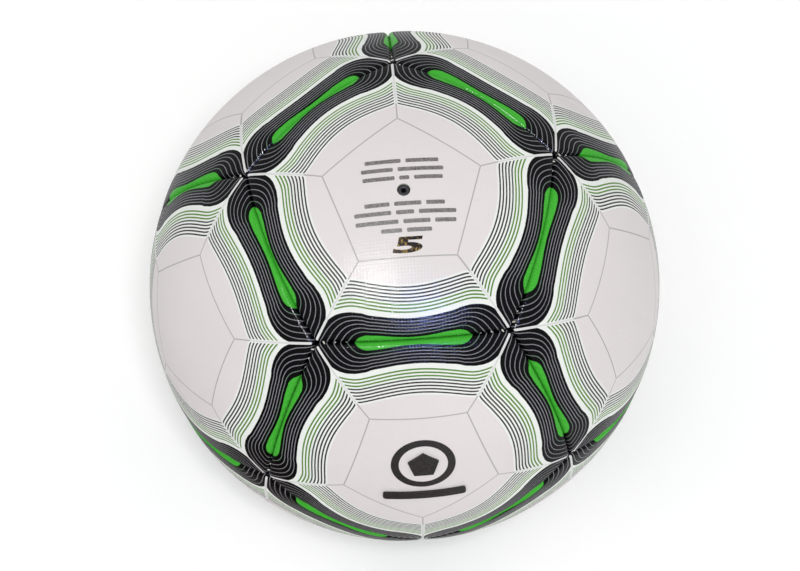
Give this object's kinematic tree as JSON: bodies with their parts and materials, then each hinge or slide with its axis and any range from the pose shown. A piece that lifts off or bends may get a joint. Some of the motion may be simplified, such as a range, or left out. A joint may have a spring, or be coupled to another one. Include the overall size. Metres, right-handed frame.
{
  "type": "football",
  "caption": "Inflated, hand-sewn football: five-sided panels that each fill one face of a dodecahedron, round a latex bladder with a rubber needle valve closed by a soft plug that pulls out.",
  "frame": {"origin": "centre of the ball", "axes": "+Z out through the valve, at the middle of one panel; -Y towards the upper panel that carries the emblem"},
  "size_m": [0.22, 0.2198, 0.2198],
  "materials": {
    "printed_cover": "printed, embossed synthetic leather, semi-gloss",
    "lining_cloth": "laminated polyester and cotton cloth",
    "seam_thread": "waxed polyester thread",
    "latex": "natural latex",
    "valve_rubber": "moulded black rubber"
  },
  "bodies": {
    "ball": {"bladder": "latex", "bottom_panel_cover": "printed_cover", "bottom_panel_lining": "lining_cloth", "bottom_seam_thread_1": "seam_thread", "bottom_seam_thread_2": "seam_thread", "bottom_seam_thread_3": "seam_thread", "bottom_seam_thread_4": "seam_thread", "bottom_seam_thread_5": "seam_thread", "lower_panel_1_cover": "printed_cover", "lower_panel_1_lining": "lining_cloth", "lower_panel_2_cover": "printed_cover", "lower_panel_2_lining": "lining_cloth", "lower_panel_3_cover": "printed_cover", "lower_panel_3_lining": "lining_cloth", "lower_panel_4_cover": "printed_cover", "lower_panel_4_lining": "lining_cloth", "lower_panel_5_cover": "printed_cover", "lower_panel_5_lining": "lining_cloth", "lower_side_seam_thread_1": "seam_thread", "lower_side_seam_thread_2": "seam_thread", "lower_side_seam_thread_3": "seam_thread", "lower_side_seam_thread_4": "seam_thread", "lower_side_seam_thread_5": "seam_thread", "middle_seam_thread_1": "seam_thread", "middle_seam_thread_10": "seam_thread", "middle_seam_thread_2": "seam_thread", "middle_seam_thread_3": "seam_thread", "middle_seam_thread_4": "seam_thread", "middle_seam_thread_5": "seam_thread", "middle_seam_thread_6": "seam_thread", "middle_seam_thread_7": "seam_thread", "middle_seam_thread_8": "seam_thread", "middle_seam_thread_9": "seam_thread", "upper_panel_1_cover": "printed_cover", "upper_panel_1_lining": "lining_cloth", "upper_panel_2_cover": "printed_cover", "upper_panel_2_lining": "lining_cloth", "upper_panel_3_cover": "printed_cover", "upper_panel_3_lining": "lining_cloth", "upper_panel_4_cover": "printed_cover", "upper_panel_4_lining": "lining_cloth", "upper_panel_5_cover": "printed_cover", "upper_panel_5_lining": "lining_cloth", "upper_side_seam_thread_1": "seam_thread", "upper_side_seam_thread_2": "seam_thread", "upper_side_seam_thread_3": "seam_thread", "upper_side_seam_thread_4": "seam_thread", "upper_side_seam_thread_5": "seam_thread", "valve_housing": "valve_rubber", "valve_panel_cover": "printed_cover", "valve_panel_lining": "lining_cloth", "valve_patch": "lining_cloth", "valve_seam_thread_1": "seam_thread", "valve_seam_thread_2": "seam_thread", "valve_seam_thread_3": "seam_thread", "valve_seam_thread_4": "seam_thread", "valve_seam_thread_5": "seam_thread"},
    "plug": {"valve_plug": "valve_rubber"}
  },
  "joints": [
    {"name": "plug_pull", "type": "slide", "parent": "ball", "child": "plug", "axis": [0, 0, 1], "range_m": [0, 0.022]}
  ]
}
